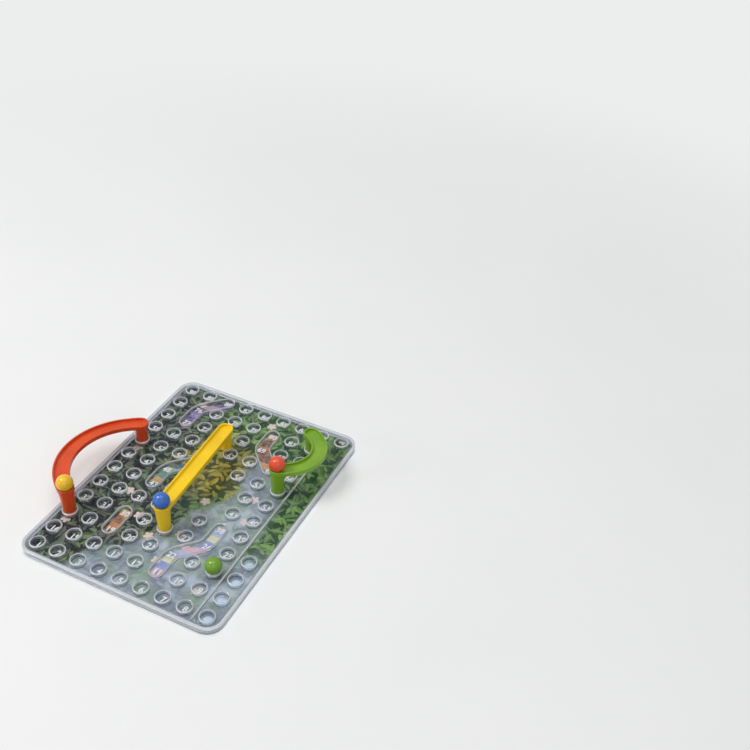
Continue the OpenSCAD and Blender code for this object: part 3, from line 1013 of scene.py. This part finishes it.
# %% Way of the numbers
# Squares that snakes lie on, as columns of each row; the last column is the start lane.
snake_squares = {
    1: [5], 2: [2, 5], 3: [2, 6], 4: [6], 5: [2], 6: [2], 7: [3],
    8: [6], 9: [1, 5], 10: [1, 5], 11: [2],
}
lane_column = columns - 1
number_places = []
for row in range(rows):
    in_row = sorted(set(cup_columns[row] + snake_squares.get(row, [])) - {lane_column})
    number_places += [square(column, row) for column in (in_row[::-1] if row % 2 else in_row)]
print("numbers:", len(number_places))

# %% Numbers
digit_size, digit_depth, digit_swell, digit_steps = 7.6, 0.008, 0.16, 4

number_ink, tree, where = start_finish("number_ink")
chalk = clouds(tree, where, 700, 3)
number_shader = add_node(tree, "ShaderNodeBsdfPrincipled", {
    "Base Color": blend_paint(tree, span(tree, chalk, 0.3, 0.7), paint(232, 234, 237),
                              paint(214, 217, 222)),
    "Roughness": span(tree, chalk, 0.3, 0.7, 0.4, 0.55)})
end_finish(tree, number_shader)

bm = bmesh.new()
for number, place in enumerate(number_places, 1):
    curve = bpy.data.curves.new("number", "FONT")
    curve.body, curve.size, curve.extrude = str(number), digit_size, digit_depth
    curve.align_x, curve.align_y, curve.offset = "CENTER", "CENTER", digit_swell
    curve.resolution_u = digit_steps
    words = bpy.data.objects.new("number", curve)
    mesh = bpy.data.meshes.new_from_object(words)
    mesh.transform(Matrix.Translation(
        place + Vector((0, 0, plate_top + hair + digit_depth))))
    bm.from_mesh(mesh)
    bpy.data.objects.remove(words)
    bpy.data.curves.remove(curve)
    bpy.data.meshes.remove(mesh)
make_piece("square_numbers", bm, number_ink, "board", "card")

# %% [markdown]
# ## Base
# The base is a plain pale plate that closes the board from below and carries the print.
# Its CAD shape is right as it is, so it only gets a finish: dull moulded plastic with a fine
# grain, because nobody polishes the underside of a toy.

# %% Base
base_plastic = moulded_plastic("base_plastic", paint(214, 217, 218), paint(200, 204, 206),
                               gloss=0.45, peel=0.12)
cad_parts["base_tray"].material_slots[0].material = base_plastic
print("base finish:", base_plastic.name)

# %% [markdown]
# ## Floor and light
# The board stands on a plain pale floor under soft studio light. A broad lamp high on the
# left gives each marble its highlight, and three more lamps and a pale sky fill the shadows.
# Lamps and sky together light a white surface to about full white and no more, so every
# colour shows about as it is written.
# Far from the board the floor fades to the backdrop's tone, and the sky shows the same tone to
# the eye, in mirrors and through plastic, so no horizon is seen. The sky's light is separate.

# %% Floor
backdrop_tone = paint(236, 237, 237)
fade_from, fade_to = 0.4, 1.1
floor_half, floor_drop = 6, 0.2 * MM


def sees_backdrop(tree):
    """1 for the rays that show the backdrop: seen directly, mirrored or through plastic."""
    rays = add_node(tree, "ShaderNodeLightPath").outputs
    seen = calc(tree, "MAXIMUM", rays["Is Camera Ray"], rays["Is Glossy Ray"])
    return calc(tree, "MAXIMUM", seen, rays["Is Transmission Ray"])


floor_finish, tree, where = start_finish("pale_floor")
mottle = clouds(tree, where, 6)
floor_shader = add_node(tree, "ShaderNodeBsdfPrincipled", {
    "Base Color": blend_paint(tree, mottle, paint(236, 236, 234), paint(230, 230, 229)),
    "Roughness": span(tree, mottle, 0.3, 0.7, 0.6, 0.7),
    "Specular IOR Level": 0.2})
glow = add_node(tree, "ShaderNodeEmission", {"Color": backdrop_tone})
away = add_node(tree, "ShaderNodeVectorMath", {0: where}, operation="LENGTH").outputs["Value"]
fading = calc(tree, "MULTIPLY", span(tree, away, fade_from, fade_to), sees_backdrop(tree))
end_finish(tree, add_node(tree, "ShaderNodeMixShader", {
    0: fading, 1: floor_shader.outputs[0], 2: glow.outputs[0]}))

bm = bmesh.new()
bmesh.ops.create_grid(bm, x_segments=4, y_segments=4, size=floor_half)
bmesh.ops.translate(bm, verts=bm.verts, vec=(0, 0, -floor_drop))
floor_mesh = bpy.data.meshes.new("floor")
bm.to_mesh(floor_mesh)
bm.free()
floor_mesh.materials.append(floor_finish)
floor = bpy.data.objects.new("floor", floor_mesh)
scene.collection.objects.link(floor)
print("floor width in metres:", round(floor.dimensions.x, 1))

# %% Lamps and sky
def studio_lamp(name, place, size, power):
    """A round lamp that faces the board; sizes in metres, power in watts."""
    lamp_data = bpy.data.lights.new(name, "AREA")
    lamp_data.shape, lamp_data.size, lamp_data.energy = "DISK", size, power
    lamp = bpy.data.objects.new(name, lamp_data)
    lamp.location = place
    lamp.rotation_euler = (-Vector(place)).to_track_quat("-Z", "Y").to_euler()
    scene.collection.objects.link(lamp)


studio_lamp("window_lamp", (-1.5, -0.7, 2.2), 1.1, 32)
studio_lamp("ceiling_lamp", (0, 0, 2.4), 2, 20)
studio_lamp("fill_lamp", (1.8, -1.8, 1.8), 1.6, 9)
studio_lamp("side_lamp", (-1.7, -1.9, 0.9), 0.5, 6)

sky = bpy.data.worlds.new("pale_sky")
sky.use_nodes = True
tree = sky.node_tree
tree.nodes.clear()
sky_light = add_node(tree, "ShaderNodeBackground", {
    "Color": paint(238, 241, 244), "Strength": 0.4})
sky_seen = add_node(tree, "ShaderNodeBackground", {"Color": backdrop_tone, "Strength": 1})
sky_mix = add_node(tree, "ShaderNodeMixShader", {
    0: sees_backdrop(tree), 1: sky_light.outputs[0], 2: sky_seen.outputs[0]})
add_node(tree, "ShaderNodeOutputWorld", {"Surface": sky_mix.outputs[0]})
scene.world = sky
print("lamps:", [light.name for light in bpy.data.lights])
